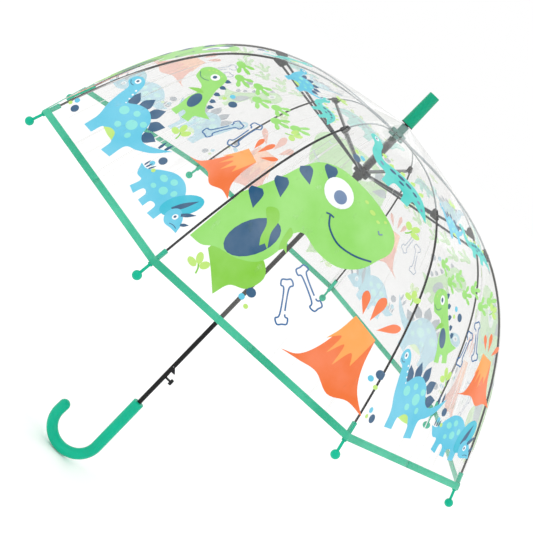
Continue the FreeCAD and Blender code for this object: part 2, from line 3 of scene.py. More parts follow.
import bmesh
import bpy
import numpy as np
from mathutils import Euler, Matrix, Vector


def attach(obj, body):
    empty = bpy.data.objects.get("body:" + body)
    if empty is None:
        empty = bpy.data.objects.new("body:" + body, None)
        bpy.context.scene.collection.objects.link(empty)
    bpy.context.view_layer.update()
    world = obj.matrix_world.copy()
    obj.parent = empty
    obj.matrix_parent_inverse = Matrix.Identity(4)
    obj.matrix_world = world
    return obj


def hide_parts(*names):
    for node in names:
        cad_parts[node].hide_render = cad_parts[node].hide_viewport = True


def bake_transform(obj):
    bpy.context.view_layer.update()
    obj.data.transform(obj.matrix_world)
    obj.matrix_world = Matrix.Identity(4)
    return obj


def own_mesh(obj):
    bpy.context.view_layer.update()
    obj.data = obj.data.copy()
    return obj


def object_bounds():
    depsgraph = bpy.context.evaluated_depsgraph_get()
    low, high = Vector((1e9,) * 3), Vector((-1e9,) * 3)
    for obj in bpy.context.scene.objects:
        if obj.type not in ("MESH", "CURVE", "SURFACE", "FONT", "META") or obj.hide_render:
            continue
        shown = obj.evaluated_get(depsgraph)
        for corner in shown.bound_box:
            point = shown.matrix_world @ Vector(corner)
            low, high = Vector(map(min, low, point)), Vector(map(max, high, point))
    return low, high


# Children's dome umbrella, open. Metres, +Z up the shaft, origin at the middle of the grip.
# Prints are drawn in millimetres on one gore: x from its middle, y up from the hem.

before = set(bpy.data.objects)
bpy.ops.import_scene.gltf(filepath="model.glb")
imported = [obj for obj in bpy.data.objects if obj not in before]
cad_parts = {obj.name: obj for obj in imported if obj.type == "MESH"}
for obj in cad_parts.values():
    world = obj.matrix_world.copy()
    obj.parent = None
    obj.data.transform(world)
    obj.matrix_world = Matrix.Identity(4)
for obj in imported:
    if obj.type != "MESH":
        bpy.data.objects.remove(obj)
cad_box = [list(corner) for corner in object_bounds()]

# ---- the dome ---------------------------------------------------------------------------
RIB_COUNT = 8
FIRST_RIB_BEARING = math.radians(30.4)
RIB_STEP = math.tau / RIB_COUNT
CANOPY_RADIUS = 0.365
CANOPY_DEPTH = 0.2718
HEM_HEIGHT = 0.2734
FILM_TOP_RADIUS = 0.005
CURVE_INNER = (0.5185, 0.895)
CURVE_OUTER = (0.7414, 0.858)
BEND_RADIUS = 0.1843  # the ribs bend here as they fold
CAP_RADIUS = 0.024
CURVE_PROBE = 0.002
CURVE_POINTS = 801

# ---- film -------------------------------------------------------------------------------
FILM_SAG = 0.0045
CREASE_SCALE = 34.0  # how close the painted highlight streaks along the film's tension creases are
SEAM_HALF_WIDTH = 0.0026
CAP_ROWS = 6
UPPER_ROWS = 26
LOWER_ROWS = 40
HALF_COLUMNS = 12
SEAM_SHARE_LIMIT = 0.2  # the seam never takes more of a gore than this

# ---- hem tape and its stitches ----------------------------------------------------------
TAPE_WIDTH = 0.0087
TAPE_OUTER_LIFT = 0.0003
TAPE_INNER_LIFT = -0.0008
TAPE_STEPS = 40
TAPE_ROUND = 0.0003  # how far the tape's edges are rounded, through it and up it
TAPE_EDGE_ROUND = 0.0006
TAPE_FOLD_ROUND = 0.0012
TAPE_FOLD_STEP = 0.0002
STITCH_LINE = 0.0064  # stitches above the hem's edge
STITCH_SPACING = 0.0034
STITCH_LENGTH = 0.0021
STITCH_RADIUS = 0.00022

# ---- prints -----------------------------------------------------------------------------
MM = 0.001
PRINT_COLUMN = 14.0  # millimetres between the cuts that let a print bend, across and up
PRINT_ROW = 5.0
CUT_TOLERANCE = 1e-5
OVAL_POINTS = 22
INK_LIFT = 0.0003
BACK_INK_LIFT = 0.00022
INK_STEP = 0.000028
FRONT_COVER = 0.99
BACK_COVER = 0.9
BACK_PALER = 0.5
BACK_PAINTED_GLOW = 0.28  # painted glow: emission that stands in for light showing through a print seen from inside


# ---- shape of the film ------------------------------------------------------------------
def rib_curve(share):
    """Radius and height of the film over a rib: 0 at the top of the dome, 1 at the hem."""
    handles = (
        (FILM_TOP_RADIUS, CANOPY_DEPTH),
        (CURVE_INNER[0] * CANOPY_RADIUS, CURVE_INNER[1] * CANOPY_DEPTH),
        (CURVE_OUTER[0] * CANOPY_RADIUS, CURVE_OUTER[1] * CANOPY_DEPTH),
        (CANOPY_RADIUS, 0.0),
    )
    rest = 1.0 - share
    weights = (rest**3, 3 * rest * rest * share, 3 * rest * share * share, share**3)
    radius = sum(w * h[0] for w, h in zip(weights, handles))
    height = sum(w * h[1] for w, h in zip(weights, handles))
    return radius, HEM_HEIGHT + height


SHARES = np.linspace(0.0, 1.0, CURVE_POINTS)
CURVE = np.array([rib_curve(s) for s in SHARES])
CURVE_STEPS = np.hypot(np.diff(CURVE[:, 0]), np.diff(CURVE[:, 1]))
FROM_HEM = np.append(np.cumsum(CURVE_STEPS[::-1])[::-1], 0.0)


def share_above_hem(distance):
    return float(np.interp(distance, FROM_HEM[::-1], SHARES[::-1]))


def share_at_radius(radius):
    return float(np.interp(radius, CURVE[:, 0], SHARES))


def height_of_share(share):
    """Distance along the rib from the hem up to a share of the curve."""
    return float(np.interp(share, SHARES, FROM_HEM))


def gore_width(share):
    return 2 * rib_curve(share)[0] * math.sin(RIB_STEP / 2)


CAP_SHARE = share_at_radius(CAP_RADIUS)
BEND_SHARE = share_at_radius(BEND_RADIUS)


def bearing(rib):
    return FIRST_RIB_BEARING + rib * RIB_STEP


def outwards(rib):
    return Vector((math.cos(bearing(rib)), math.sin(bearing(rib)), 0.0))


def rib_point(rib, share):
    radius, height = rib_curve(share)
    return outwards(rib) * radius + Vector((0, 0, height))


def film_sag(share, across):
    """How far the film hangs inside the straight line from rib to rib."""
    return FILM_SAG * math.sin(math.pi * across) * math.sin(math.pi * share)


def film_point(gore, share, across, lift=0.0):
    """Point between rib number gore and the next, across from 0 to 1, lifted outwards."""
    low = max(share - CURVE_PROBE, 0.0)
    high = min(share + CURVE_PROBE, 1.0)
    above = rib_point(gore, low).lerp(rib_point(gore + 1, low), across)
    below = rib_point(gore, high).lerp(rib_point(gore + 1, high), across)
    side = rib_point(gore + 1, share) - rib_point(gore, share)
    normal = (below - above).cross(side).normalized()
    point = rib_point(gore, share) + side * across
    return point + normal * (lift - film_sag(share, across))


def beside_rib(rib, share, offset, lift=0.0):
    """Point of the film offset gores to the side of a rib, from -0.5 to 0.5."""
    if offset >= 0:
        return film_point(rib, share, offset, lift)
    return film_point(rib - 1, share, 1 + offset, lift)


# ---- making objects ---------------------------------------------------------------------
def new_object(name, mesh, materials):
    piece = bpy.data.objects.new(name, mesh)
    bpy.context.scene.collection.objects.link(piece)
    for material in materials:
        mesh.materials.append(material)
    return piece


def smooth_mesh(name, points, faces):
    mesh = bpy.data.meshes.new(name)
    mesh.from_pydata(points, [], faces)
    mesh.polygons.foreach_set("use_smooth", [True] * len(faces))
    return mesh


def fold_with_rib(piece, body):
    """The piece goes with a rib's body."""
    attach(piece, body)
    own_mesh(piece)


# ---- materials --------------------------------------------------------------------------
def card(red, green, blue):
    """Shader colour from the 0 to 255 values of a paint card."""
    values = [c / 255 for c in (red, green, blue)]
    mixed = [v / 12.92 if v <= 0.04045 else ((v + 0.055) / 1.055) ** 2.4 for v in values]
    return (*mixed, 1.0)


def paler(colour, share):
    return tuple(c + (1.0 - c) * share for c in colour[:3]) + (1.0,)


MAP_RANGE = ("From Min", "From Max", "To Min", "To Max")


class Finish:
    """A material in the making: one Principled shader and the nodes that feed it."""

    def __init__(self, name, **sockets):
        self.material = bpy.data.materials.new(name)
        self.material.use_nodes = True
        self.nodes = self.material.node_tree.nodes
        self.links = self.material.node_tree.links
        self.shader = self.nodes["Principled BSDF"]
        for socket, value in sockets.items():
            self.shader.inputs[socket.replace("_", " ")].default_value = value

    def link(self, source, target):
        self.links.new(source, target)

    def feed(self, source, socket):
        self.link(source, self.shader.inputs[socket])

    def place(self, stretch=(1, 1, 1)):
        """Object coordinates, stretched."""
        where = self.nodes.new("ShaderNodeTexCoord")
        mapping = self.nodes.new("ShaderNodeMapping")
        mapping.inputs["Scale"].default_value = stretch
        self.link(where.outputs["Object"], mapping.inputs["Vector"])
        return mapping.outputs["Vector"]

    def noise(self, scale, detail=3.0, stretch=(1, 1, 1)):
        texture = self.nodes.new("ShaderNodeTexNoise")
        texture.inputs["Scale"].default_value = scale
        texture.inputs["Detail"].default_value = detail
        self.link(self.place(stretch), texture.inputs["Vector"])
        return texture.outputs["Fac"]

    def bands(self, scale):
        """Bands one above the other."""
        texture = self.nodes.new("ShaderNodeTexWave")
        texture.bands_direction = "Z"
        texture.inputs["Scale"].default_value = scale
        self.link(self.place(), texture.inputs["Vector"])
        return texture.outputs["Fac"]

    def remap(self, value, low, high, to_low, to_high):
        remap = self.nodes.new("ShaderNodeMapRange")
        for socket, number in zip(MAP_RANGE, (low, high, to_low, to_high)):
            remap.inputs[socket].default_value = number
        self.link(value, remap.inputs["Value"])
        return remap.outputs["Result"]

    def math(self, operation, first, second=0.0):
        node = self.nodes.new("ShaderNodeMath")
        node.operation = operation
        for slot, value in enumerate((first, second)):
            if isinstance(value, (int, float)):
                node.inputs[slot].default_value = value
            else:
                self.link(value, node.inputs[slot])
        return node.outputs["Value"]

    def colours(self, factor, first, second):
        """Colour between two, by a factor from 0 to 1."""
        mix = self.nodes.new("ShaderNodeMix")
        mix.data_type = "RGBA"
        sockets = [s for s in mix.inputs if s.type == "RGBA"]
        sockets[0].default_value = first
        sockets[1].default_value = second
        self.link(factor, mix.inputs["Factor"])
        return [s for s in mix.outputs if s.type == "RGBA"][0]

    def bump(self, height, distance, strength=0.3):
        bump = self.nodes.new("ShaderNodeBump")
        bump.inputs["Strength"].default_value = strength
        bump.inputs["Distance"].default_value = distance
        self.link(height, bump.inputs["Height"])
        self.feed(bump.outputs["Normal"], "Normal")


def clear_film():
    """Soft clear film: it dims what is behind it a little, more at grazing angles, and painted
    highlights, white streaks along its tension creases straight from the top and scratchy glare in
    patches, lighten its colour and make it less clear there."""
    finish = Finish("clear_film", Roughness=0.08, Specular_IOR_Level=0.5)
    facing = finish.nodes.new("ShaderNodeLayerWeight")
    facing.inputs["Blend"].default_value = 0.2
    edge = finish.math("MULTIPLY", facing.outputs["Facing"], 0.2)
    uv = finish.nodes.new("ShaderNodeUVMap")
    split = finish.nodes.new("ShaderNodeSeparateXYZ")
    finish.link(uv.outputs["UV"], split.inputs["Vector"])
    uneven = finish.nodes.new("ShaderNodeTexNoise")
    uneven.noise_dimensions = "1D"
    uneven.inputs["Scale"].default_value = CREASE_SCALE
    wander = finish.math("MULTIPLY", finish.noise(4.0), 0.05)
    finish.link(finish.math("ADD", split.outputs["X"], wander), uneven.inputs["W"])
    # painted highlight: white streaks along the tension creases and scratchy glare, both only in
    # patches
    ridge = finish.remap(uneven.outputs["Fac"], 0.64, 0.7, 0.0, 1.0)
    patch = finish.remap(finish.noise(6.5, stretch=(1, 1, 0.5)), 0.5, 0.62, 0.0, 0.7)
    crease_highlight = finish.math("MULTIPLY", ridge, patch)
    scratchy_glare = finish.noise(55.0, 6.0, stretch=(1, 1, 0.25))
    scratchy_glare = finish.math("MULTIPLY", finish.remap(scratchy_glare, 0.6, 0.72, 0.0, 0.35), patch)
    white = finish.math("ADD", crease_highlight, scratchy_glare)
    # the painted highlight whitens the film's colour here and raises its alpha below
    finish.feed(finish.colours(white, card(188, 187, 183), card(252, 252, 252)), "Base Color")
    haze = finish.remap(finish.noise(12.0, 5.0), 0.35, 0.7, 0.12, 0.17)
    alpha = finish.math("ADD", haze, white)
    finish.feed(finish.math("ADD", alpha, edge), "Alpha")
    finish.bump(finish.noise(40.0, 2.0), 0.0008, 0.3)
    return finish.material


def weld_seam():
    """The film is welded along each rib, and clearest there, where it lies on the rod."""
    finish = Finish("weld_seam", Base_Color=card(190, 192, 192), Roughness=0.2)
    finish.feed(finish.remap(finish.noise(240.0, 2.0), 0.3, 0.7, 0.03, 0.1), "Alpha")
    finish.bump(finish.noise(900.0, 1.0), 0.0003, 0.5)
    return finish.material


def hem_binding():
    finish = Finish("hem_binding", Roughness=0.3, Alpha=0.9, Specular_IOR_Level=0.4)
    tone = finish.remap(finish.noise(16.0, 4.0), 0.3, 0.7, 0.0, 1.0)
    finish.feed(finish.colours(tone, card(30, 172, 132), card(74, 200, 162)), "Base Color")
    finish.bump(finish.noise(1400.0, 2.0), 0.0002, 0.35)
    return finish.material


def stitch_thread():
    finish = Finish("stitch_thread", Roughness=0.6)
    tone = finish.noise(300.0)
    finish.feed(finish.colours(tone, card(30, 150, 120), card(70, 190, 155)), "Base Color")
    finish.bump(finish.noise(5000.0), 0.0001)
    return finish.material


def moulded_plastic(name, colour, roughness, grain, flutes=0):
    """Glossy moulded plastic with flow marks in its colour, a fine grain and, if wanted,
    flutes along it."""
    finish = Finish(name, Specular_IOR_Level=0.18, Coat_Weight=0.05, Coat_Roughness=0.08)
    tone = finish.remap(finish.noise(22.0, 4.0), 0.3, 0.7, 0.0, 1.0)
    darker = tuple(c * 0.86 for c in colour[:3]) + (1.0,)
    finish.feed(finish.colours(tone, darker, colour), "Base Color")
    worn = finish.remap(finish.noise(80.0), 0.3, 0.7, roughness * 0.8, roughness * 1.25)
    finish.feed(worn, "Roughness")
    if flutes:
        around = finish.nodes.new("ShaderNodeTexGradient")
        around.gradient_type = "RADIAL"
        finish.link(finish.place(), around.inputs["Vector"])
        wave = finish.math("SINE", finish.math("MULTIPLY", around.outputs["Fac"], math.tau * flutes))
        finish.bump(wave, 0.0004, 0.35)
    else:
        finish.bump(finish.noise(grain, 2.0), 0.0003, 0.12)
    return finish.material


def enamelled_steel(name, colour, roughness):
    """Enamel on a drawn rod: faint draw lines along it, small runs in the gloss."""
    finish = Finish(name, Specular_IOR_Level=0.2, Coat_Weight=0.04, Coat_Roughness=0.06)
    tone = finish.noise(45.0, 4.0)
    finish.feed(finish.colours(tone, colour, paler(colour, 0.004)), "Base Color")
    runs = finish.remap(finish.noise(120.0), 0.3, 0.7, roughness * 0.7, roughness * 1.4)
    finish.feed(runs, "Roughness")
    finish.bump(finish.noise(700.0, 2.0, stretch=(1, 1, 0.05)), 0.0002, 0.15)
    return finish.material


def plated_steel(name, colour, roughness):
    finish = Finish(name, Metallic=1.0)
    tone = finish.noise(150.0, 4.0)
    finish.feed(finish.colours(tone, colour, paler(colour, 0.12)), "Base Color")
    dull = finish.remap(finish.noise(400.0), 0.3, 0.7, roughness * 0.7, roughness * 1.3)
    finish.feed(dull, "Roughness")
    finish.bump(finish.noise(2500.0, 2.0, stretch=(1, 1, 0.1)), 0.0001, 0.2)
    return finish.material


def hidden_coil():
    """Dark spring wire wound close: the coils are in the relief, and the same bands are painted into
    the colour, with painted shade between the coils and a painted highlight along each.
    """
    finish = Finish("hidden_coil", Metallic=1.0, Roughness=0.35)
    turn_relief_and_shade = finish.bands(260.0)
    # painted shade and highlight: darker between the coils, lighter on them, following the relief bands
    finish.feed(finish.colours(turn_relief_and_shade, card(30, 30, 32), card(120, 120, 124)), "Base Color")
    finish.bump(turn_relief_and_shade, 0.0008, 0.8)
    return finish.material


# ---- inks -------------------------------------------------------------------------------
INKS = {
    "grass": card(146, 216, 104),
    "leaf": card(132, 202, 64),
    "lime": card(186, 226, 112),
    "navy": card(30, 84, 122),
    "slate": card(112, 136, 172),
    "sky": card(88, 194, 222),
    "frill": card(36, 184, 208),
    "teal": card(72, 206, 196),
    "spot": card(128, 222, 214),
    "white": card(244, 247, 248),
    "orange": card(238, 116, 56),
    "amber": card(253, 164, 80),
    "outline": card(48, 104, 158),
}
INK_NAMES = list(INKS)


def screen_ink(name, colour, cover, glow=0.0):
    """Ink laid on film: uneven in tone, worn thin in small dry patches, and given a painted glow, an
    emission that stands in for light coming through it from behind."""
    finish = Finish(name, Roughness=0.4, Specular_IOR_Level=0.2)
    tone = finish.remap(finish.noise(18.0, 5.0), 0.32, 0.68, 0.0, 1.0)
    deep = tuple(c * 0.93 for c in colour[:3]) + (1.0,)
    finish.feed(finish.colours(tone, deep, paler(colour, 0.1)), "Base Color")
    # painted glow: emission in the ink's own colour stands in for light shining through from behind
    finish.shader.inputs["Emission Color"].default_value = colour
    finish.shader.inputs["Emission Strength"].default_value = glow
    dry = finish.noise(70.0, 6.0, stretch=(1, 1, 0.3))
    finish.feed(finish.remap(dry, 0.62, 0.82, cover, cover * 0.6), "Alpha")
    return finish.material


# ---- drawing the prints -----------------------------------------------------------------
def sharp(x, y):
    """A corner of an outline."""
    return (x, y, True)


def curved(points, closed=True, steps=6):
    """Smooth line through the points, turning sharply only at corners."""
    count = len(points)
    spans = count if closed else count - 1
    line = []

    def at(index):
        place = points[index % count] if closed else points[min(max(index, 0), count - 1)]
        return np.array(place[:2], float)

    for i in range(spans):
        before, start, end, after = (at(i + k) for k in (-1, 0, 1, 2))
        leave = end - start if len(points[i % count]) == 3 else (end - before) / 2
        arrive = end - start if len(points[(i + 1) % count]) == 3 else (after - start) / 2
        for k in range(steps):
            t = k / steps
            hermite = (2 * t**3 - 3 * t**2 + 1) * start + (t**3 - 2 * t**2 + t) * leave
            hermite = hermite + (3 * t**2 - 2 * t**3) * end + (t**3 - t**2) * arrive
            line.append(tuple(hermite))
    if not closed:
        line.append(tuple(at(count - 1)))
    return line


def oval(x, y, half_width, half_height, turn=0.0):
    angle = math.radians(turn)
    loop = []
    for i in range(OVAL_POINTS):
        a = math.tau * i / OVAL_POINTS
        u, v = half_width * math.cos(a), half_height * math.sin(a)
        right = x + u * math.cos(angle) - v * math.sin(angle)
        up = y + u * math.sin(angle) + v * math.cos(angle)
        loop.append((right, up))
    return loop


def leaf_shape(foot, tip, width, belly=0.45):
    """Pointed blade from foot to tip, widest part of the way up."""
    foot, tip = np.array(foot, float), np.array(tip, float)
    side = np.array((foot[1] - tip[1], tip[0] - foot[0])) / np.linalg.norm(tip - foot) * width / 2
    middle = foot + (tip - foot) * belly
    start = foot + side * 0.75
    end = foot - side * 0.75
    left = middle + side
    right = middle - side
    return curved([sharp(*start), tuple(left), sharp(*tip), tuple(right), sharp(*end)], steps=4)


def drop_shape(foot, tip, width):
    """Drop with its point at the foot and a round head at the tip."""
    foot, tip = np.array(foot, float), np.array(tip, float)
    heading = tip - foot
    side = np.array((-heading[1], heading[0])) / np.linalg.norm(heading) * width / 2
    head = foot + heading * 0.72
    return curved([sharp(*foot), tuple(head + side), tuple(tip), tuple(head - side)])


def pen_line(points, width, closed=False):
    """Band of even width along a smooth line; a closed one leaves a hair's gap."""
    line = [np.array(p) for p in curved(points, closed)]
    sides = ([], [])
    for i, place in enumerate(line):
        heading = line[min(i + 1, len(line) - 1)] - line[max(i - 1, 0)]
        side = np.array((-heading[1], heading[0])) / max(np.linalg.norm(heading), 1e-6) * width / 2
        sides[0].append(tuple(place + side))
        sides[1].append(tuple(place - side))
    return sides[0] + sides[1][::-1]


class GoreArt:
    """Every shape printed on one gore, in the order that it is printed."""

    def __init__(self):
        self.shapes = []
        self.start((0.0, 0.0))

    def start(self, centre, turn=0.0, size=1.0):
        """A new motif: its own coordinates are turned, sized and set at its centre."""
        self.centre = centre
        self.heading = (math.cos(math.radians(turn)), math.sin(math.radians(turn)))
        self.size = size
        self.layer = 0

    def fill(self, ink, loop):
        cosine, sine = self.heading
        placed = []
        for x, y in loop:
            u, v = x * self.size, y * self.size
            right = self.centre[0] + cosine * u - sine * v
            up = self.centre[1] + sine * u + cosine * v
            placed.append((right, up))
        ahead = placed[1:] + placed[:1]
        area = sum(p[0] * q[1] - q[0] * p[1] for p, q in zip(placed, ahead))
        self.shapes.append((ink, self.layer, placed if area > 0 else placed[::-1]))
        self.layer += 1

    def ovals(self, ink, *places):
        """Separate ovals in one layer; each is x, y, half width, half height and turn."""
        layer = self.layer
        for place in places:
            self.layer = layer
            self.fill(ink, oval(*place))

    def eye(self, x, y, size, ink="navy"):
        self.fill("white", oval(x, y, size, size))
        self.fill(ink, oval(x - size * 0.1, y, size * 0.45, size * 0.5))


def plated_dinosaur(art, centre, turn=0.0, size=1.0):
    """Four-legged, looking left, with a row of plates down its back."""
    art.start(centre, turn, size)
    plates = (
        ((-21, 18), (-30, 36)), ((-8, 25), (-9, 45)), ((9, 27), (15, 46)), ((23, 19), (37, 33)),
        ((30, 6), (49, 14)),
    )
    for foot, tip in plates:
        art.layer = 0
        art.fill("navy", leaf_shape(foot, tip, 15))
    for foot, tip in (((60, 12), (58, 24)), ((67, 16), (67, 28))):
        art.layer = 0
        art.fill("navy", leaf_shape(foot, tip, 4))
    body = [
        (-57, 34), (-57, 44), (-48, 50), (-38, 45), (-32, 31), (-26, 17), (-13, 26), (3, 30), (19, 23),
        (29, 7), (41, 2), (57, 9), sharp(75, 22), (62, 3), (46, -9), (32, -17), sharp(33, -38),
        sharp(17, -41), (14, -26), (1, -25), (-13, -23), sharp(-15, -38), sharp(-31, -39), (-32, -20),
        (-40, -3), (-45, 15), (-48, 29),
    ]
    art.fill("sky", curved(body))
    spots = (
        (-18, 8, 7, 6), (-3, 17, 5, 4), (8, 4, 8, 7), (-4, -8, 5, 4), (17, 15, 5, 4),
        (19, -7, 4, 4),
    )
    art.ovals("spot", *spots)
    art.fill("lime", curved([sharp(-12, -23), (-4, -17), (6, -17), sharp(13, -25), (1, -25)]))
    beads = ((-36, 33, 1.4, 1.4), (-33, 27, 1.4, 1.4), (-30, 21, 1.2, 1.2), (-27, 15, 1.0, 1.0))
    art.ovals("white", *beads)
    art.eye(-48, 42, 4)
    art.fill("navy", pen_line([(-56, 37), (-51, 34), (-46, 35)], 0.8))


def horned_dinosaur(art, centre, turn=0.0, size=1.0):
    """Four-legged, looking right, with a frill and three horns."""
    art.start(centre, turn, size)
    body = [
        sharp(-47, 3), (-35, 4), (-22, 16), (-6, 26), (12, 27), (28, 18), (34, 4), (31, -9),
        sharp(32, -24),
        sharp(20, -26), (17, -14), (8, -15), sharp(8, -25), sharp(-3, -25), (-5, -14), (-13, -13),
        sharp(-15, -25), sharp(-27, -23), (-26, -9), (-37, -8),
    ]
    art.fill("sky", curved(body))
    art.ovals("spot", (-10, 12, 6, 4), (3, 18, 5, 4), (5, 3, 6, 5), (-9, -2, 4, 3), (17, 10, 4, 4))
    for foot, tip in (((-42, 4), (-43, 13)), ((-38, 4), (-37, 13)), ((-34, 5), (-31, 14))):
        art.layer = 2
        art.fill("navy", leaf_shape(foot, tip, 2.4))
    art.fill("frill", oval(37, 9, 25, 14, 62))
    art.fill("navy", leaf_shape((34, -2), (45, 27), 7))
    face = [(34, -2), (40, 5), (51, 3), (60, -5), sharp(65, -14), (56, -15), (44, -17), (35, -11)]
    art.fill("sky", curved(face))
    art.fill("navy", leaf_shape((48, 2), (60, 15), 5))
    art.fill("navy", leaf_shape((59, -5), (66, 2), 4))
    art.eye(46, -4, 3.6)
    art.fill("navy", pen_line([(49, -13), (54, -11), (60, -11)], 0.8))


def small_upright_dinosaur(art, centre, turn=0.0, size=1.0):
    """Two-legged, looking left, with small spikes down its back."""
    art.start(centre, turn, size)
    spikes = (
        ((5, 44), (15, 48)), ((10, 30), (20, 32)), ((14, 14), (24, 16)), ((20, -1), (29, 2)),
        ((26, -13), (35, -8)),
    )
    for foot, tip in spikes:
        art.layer = 0
        art.fill("navy", leaf_shape(foot, tip, 8))
    body = [
        (-34, 29), (-36, 41), (-28, 52), (-12, 55), (3, 51), (9, 38), (11, 22), (16, 6),
        (22, -10), (31, -22),
        sharp(47, -29), (32, -35), (25, -39), sharp(26, -51), sharp(12, -51), (11, -41), (4, -39),
        sharp(3, -51), sharp(-10, -49), (-8, -33), (-9, -16), (-6, -1), (-10, 12), (-22, 18), (-31, 22),
    ]
    art.fill("grass", curved(body))
    art.fill("navy", oval(3, -15, 9, 15, 12))
    arm = [(2, 4), (-8, 7), (-17, 2), sharp(-22, -3), (-14, -2), (-5, 0)]
    art.fill("leaf", curved(arm))
    art.ovals("lime", (-26, 44, 1.6, 1.6), (-22, 48, 1.3, 1.3), (-17, 50, 1.6, 1.6), (-4, 47, 1.3, 1.3))
    art.eye(-9, 39, 7)
    art.fill("navy", pen_line([(-33, 33), (-26, 26), (-17, 25), (-11, 28)], 0.9))


def large_upright_dinosaur(art):
    """The big one: its head fills the upper gore and its back runs down the left rib."""
    art.start((0.0, 0.0))
    leg = [
        (-99, 72), sharp(-105, 53), (-89, 39), sharp(-70, 20), (-63, 39), (-46, 49), (-40, 72),
        (-60, 86),
    ]
    art.fill("leaf", curved(leg))
    body = [
        (44, 176), (50, 196), (42, 217), (20, 231), (-10, 239), (-44, 237), (-69, 223), (-84, 200),
        (-94, 173), (-104, 149), sharp(-117, 124), sharp(-128, 50), (-113, 51), (-99, 60),
        (-75, 66), (-55, 80),
        (-47, 103), (-48, 124), (-38, 138), (-14, 133), (13, 136), (34, 153),
    ]
    art.fill("grass", curved(body))
    spikes = (
        ((-108, 140), (-97, 119)), ((-95, 170), (-82, 150)), ((-83, 201), (-66, 187)),
        ((-60, 228), (-50, 208)),
    )
    for foot, tip in spikes:
        art.layer = 2
        art.fill("navy", leaf_shape(foot, tip, 17, 0.3))
    art.fill("navy", oval(-77, 95, 34, 18, 64))
    upper_arm = [
        (-86, 130), (-76, 138), (-67, 129), (-65, 112), sharp(-57, 96), sharp(-63, 99),
        sharp(-66, 93), (-71, 102), (-75, 117),
    ]
    lower_arm = [
        (-53, 132), (-46, 128), (-45, 117), sharp(-38, 107), sharp(-44, 109), sharp(-47, 104),
        (-51, 113),
    ]
    art.fill("leaf", curved(upper_arm))
    art.fill("leaf", curved(lower_arm))
    art.ovals("lime", (8, 220, 4, 3), (19, 215, 2.6, 2), (-4, 226, 2.6, 2.2), (26, 222, 2, 2))
    art.fill("white", oval(-35, 207, 19, 19))
    art.fill("slate", oval(-31, 204, 8.2, 8.8))
    art.fill("navy", pen_line([(-28, 177), (-20, 165), (-2, 157), (20, 160), (39, 169)], 2.2))
    art.fill("navy", pen_line([(-33, 176), (-28, 178), (-23, 178)], 2.0))
    art.fill("slate", pen_line([(25, 206), (28, 203), (31, 206)], 1.6))


def long_necked_dinosaur(art, centre, turn=0.0, size=1.0):
    """Four-legged, looking left, with a long neck and a long tail."""
    art.start(centre, turn, size)
    for foot in ((-34, 14), (-20, 9), (-4, 15), (12, 14), (27, 7)):
        art.layer = 0
        art.fill("lime", leaf_shape(foot, (foot[0] + 2, foot[1] + 8), 7))
    body = [
        (-61, 27), (-60, 36), (-50, 39), (-42, 32), (-39, 17), (-30, 7), (-10, 13), (12, 13),
        (32, 2), (43, -12),
        sharp(52, -28), (35, -19), (25, -15), sharp(24, -29), sharp(13, -29), (10, -15), (-4, -13),
        sharp(-7, -27), sharp(-18, -27), (-20, -11), (-35, -9), (-48, 2), (-52, 20),
    ]
    art.fill("teal", curved(body))
    spots = (
        (-14, 4, 5, 2.6, 10), (-2, 7, 5.5, 3, 4), (10, 5, 5, 2.6, -10), (2, -2, 4, 2.2),
        (22, 0, 4, 2.2, -25),
    )
    art.ovals("navy", *spots)
    art.ovals("slate", (-30, -1, 3.4, 2, -20), (31, -7, 3, 1.8, -40), (39, -15, 2.4, 1.5, -50))
    art.eye(-53, 33, 3.4)


def volcano(art, centre, size=1.0):
    """Cone with a lighter, streaked top and three drops thrown up from it."""
    art.start(centre, 0.0, size)
    cone = [
        sharp(-57, 0), (-38, 10), (-25, 38), sharp(-17, 83), sharp(16, 77), (23, 46), (35, 22),
        sharp(56, 4), (34, 6), (12, -3), (-12, 7), (-34, 4),
    ]
    art.fill("orange", curved(cone))
    glow = [
        sharp(-17, 83), (-21, 60), sharp(-27, 42), (-15, 55), sharp(-17, 30), (-7, 50),
        sharp(-4, 24), (4, 48), sharp(12, 36), (14, 54), sharp(16, 77),
    ]
    art.fill("amber", curved(glow))
    drops = (((-12, 89), (-24, 114), 10), ((-2, 89), (-3, 122), 11), ((10, 86), (30, 107), 10))
    for foot, tip, width in drops:
        art.layer = 0
        art.fill("orange", drop_shape(foot, tip, width))


def bone(art, centre, turn, length=46.0):
    """Outline only."""
    art.start(centre, turn)
    half = length / 2
    end = [
        (half - 9, 2.6), (half - 5, 6.4), (half + 1, 6.2), (half + 2, 1), (half + 3, -4),
        (half - 3, -7), (half - 8, -2.8),
    ]
    other = [(-x, -y) for x, y in end]
    art.fill("outline", pen_line(end + other, 1.8, closed=True))


def footprint(art, centre, turn, size=1.0):
    """Three toes and a heel."""
    art.start(centre, turn, size)
    art.fill("grass", oval(0, -3, 5.4, 6.4))
    for tip in ((-11, 9), (0, 16), (11, 9)):
        art.layer = 0
        art.fill("grass", drop_shape((0, -4), tip, 5.4))


def sprig(art, centre, turn, size=1.0):
    """Three round leaves on one stem."""
    art.start(centre, turn, size)
    art.fill("leaf", pen_line([(0, -9), (1, -3), (0, 3)], 1.8))
    art.ovals("lime", (0, 8, 4, 6.5), (-7, 2, 4, 6, 55), (7, 2, 4, 6, -55))


def dots(art, centre, navy, sky, lime):
    """Three dots of falling size; each is its x and y from the centre."""
    art.start(centre)
    art.ovals("navy", (*navy, 5.6, 5.2))
    art.ovals("sky", (*sky, 3.6, 3.4))
    art.ovals("lime", (*lime, 2.8, 2.6))


